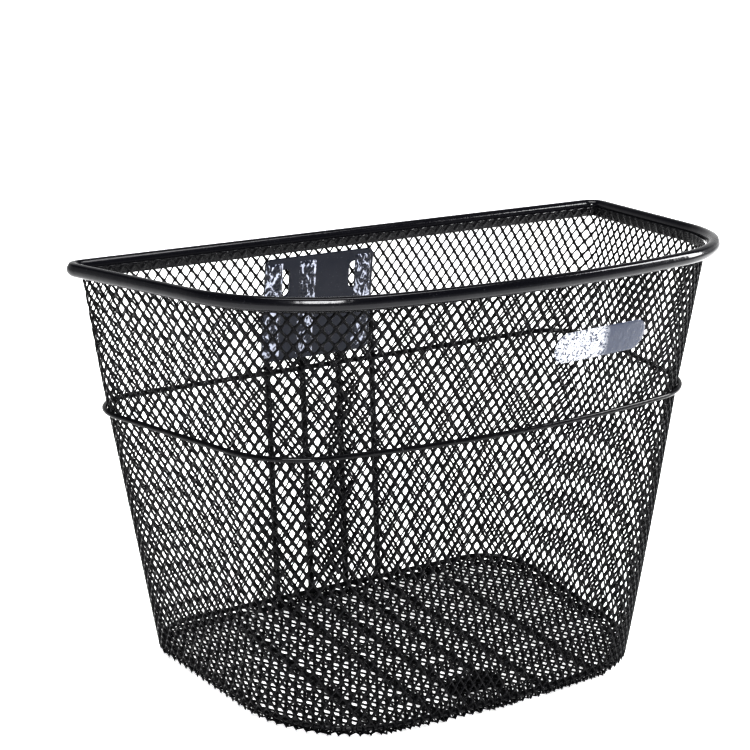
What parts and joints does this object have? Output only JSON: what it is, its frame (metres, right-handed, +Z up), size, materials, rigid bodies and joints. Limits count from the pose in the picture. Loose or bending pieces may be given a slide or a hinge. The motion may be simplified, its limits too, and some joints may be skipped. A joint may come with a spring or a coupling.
{
  "type": "handlebar basket",
  "caption": "D-shaped tapered front basket of black painted expanded metal with a round rim tube, wire supports and a slotted mounting plate on its flat back.",
  "frame": {"origin": "on the ground under the middle of the basket's bounding box", "axes": "+Z up, +Y towards the flat mounting back (the handlebar side), +X across the basket"},
  "size_m": [0.3962, 0.2045, 0.2714],
  "materials": {
    "black_paint": "gloss",
    "mesh_paint": "gloss",
    "badge_paint": "gloss"
  },
  "bodies": {
    "root": {"rim_tube": "black_paint", "rim_hem": "mesh_paint", "wall_mesh": "mesh_paint", "wall_seam": "mesh_paint", "mid_ring": "black_paint", "floor_mesh": "mesh_paint", "floor_hem": "mesh_paint", "floor_edge_wire": "black_paint", "support_wire_1": "black_paint", "support_wire_2": "black_paint", "support_wire_3": "black_paint", "support_wire_4": "black_paint", "floor_wire_left": "black_paint", "floor_wire_right": "black_paint", "bracket_plate": "black_paint", "wire_welds": "black_paint", "stay_plate": "black_paint", "name_badge": "badge_paint"}
  },
  "joints": []
}
